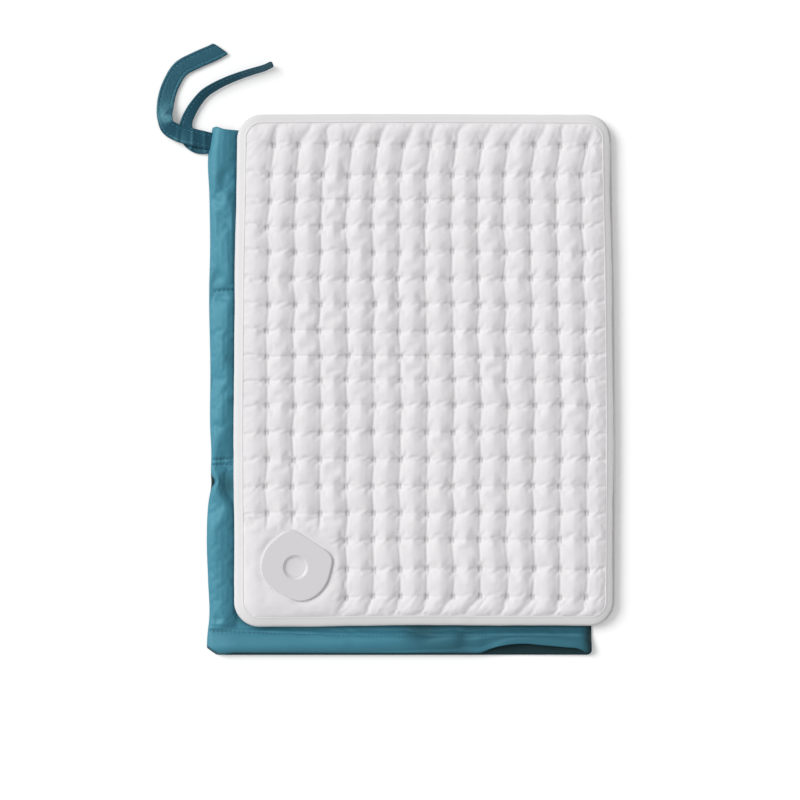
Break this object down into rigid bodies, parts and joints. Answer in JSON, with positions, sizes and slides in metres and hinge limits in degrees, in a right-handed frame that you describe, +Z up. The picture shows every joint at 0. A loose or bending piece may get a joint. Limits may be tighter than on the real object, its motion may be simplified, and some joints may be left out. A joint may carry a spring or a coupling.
{
  "type": "heating pad",
  "caption": "Quilted heating pad with a moulded control hub and push button in one corner, lying on its removable satin cover with tie ribbons.",
  "frame": {"origin": "on the table under the middle of the pad, on the underside of the cover's back panel", "axes": "+Z up out of the quilted face, +Y along the pad's length away from the hub and the cover's mouth, +X across its width"},
  "size_m": [0.3676, 0.4954, 0.0133],
  "materials": {
    "cover_satin": "satin weave with a soft sheen",
    "tie_ribbon": "satin ribbon, stitched along both edges",
    "quilt_fabric": "spot-welded nonwoven quilting",
    "binding_tape": "folded tape",
    "wadding": "fibre wadding",
    "carrier_cloth": "plain cloth",
    "cable_sheath": "smooth sheath",
    "hub_plastic": "fine satin moulding",
    "button_plastic": "fine satin moulding",
    "silicone": "matte",
    "component_black": "matte",
    "board_laminate": "solder mask",
    "contact_brass": "plain",
    "screw_steel": "zinc plated"
  },
  "bodies": {
    "cover": {"cover_front": "cover_satin", "cover_back": "cover_satin", "tie_upper": "tie_ribbon", "tie_lower": "tie_ribbon"},
    "pad": {"pad_top_panel": "quilt_fabric", "pad_back_panel": "quilt_fabric", "edge_binding": "binding_tape", "lower_wadding": "wadding", "cable_carrier": "carrier_cloth", "heating_cable": "cable_sheath", "sensor_lead": "cable_sheath", "thermal_cutout_upper": "component_black", "thermal_cutout_lower": "component_black", "temperature_sensor": "component_black", "hub_shell": "hub_plastic", "hub_tray": "hub_plastic", "hub_gasket": "silicone", "hub_screw_1": "screw_steel", "hub_screw_2": "screw_steel", "hub_screw_3": "screw_steel", "hub_screw_4": "screw_steel", "return_dome": "silicone", "switch_body": "component_black", "circuit_board": "board_laminate", "cable_terminal_1": "contact_brass", "cable_terminal_2": "contact_brass", "control_chip": "component_black", "power_transistor": "component_black", "smoothing_capacitor": "component_black", "power_inlet": "component_black", "inlet_pin_1": "contact_brass", "inlet_pin_2": "contact_brass"},
    "button": {"button": "button_plastic"},
    "switch_plunger": {"switch_plunger": "component_black"}
  },
  "joints": [
    {"name": "pad_lift", "type": "slide", "parent": "cover", "child": "pad", "axis": [0, 0, 1], "range_m": [0, 0.15]},
    {"name": "button_press", "type": "slide", "parent": "pad", "child": "button", "axis": [0, 0, -1], "range_m": [0, 0.0006], "stiffness_N_per_m": 900, "springref_m": -0.001, "deforming": ["return_dome"]},
    {"name": "plunger_press", "type": "slide", "parent": "pad", "child": "switch_plunger", "axis": [0, 0, -1], "range_m": [0, 0.0006]}
  ],
  "couplings": [
    {"joint": "plunger_press", "follows": "button_press", "ratio": 1}
  ]
}
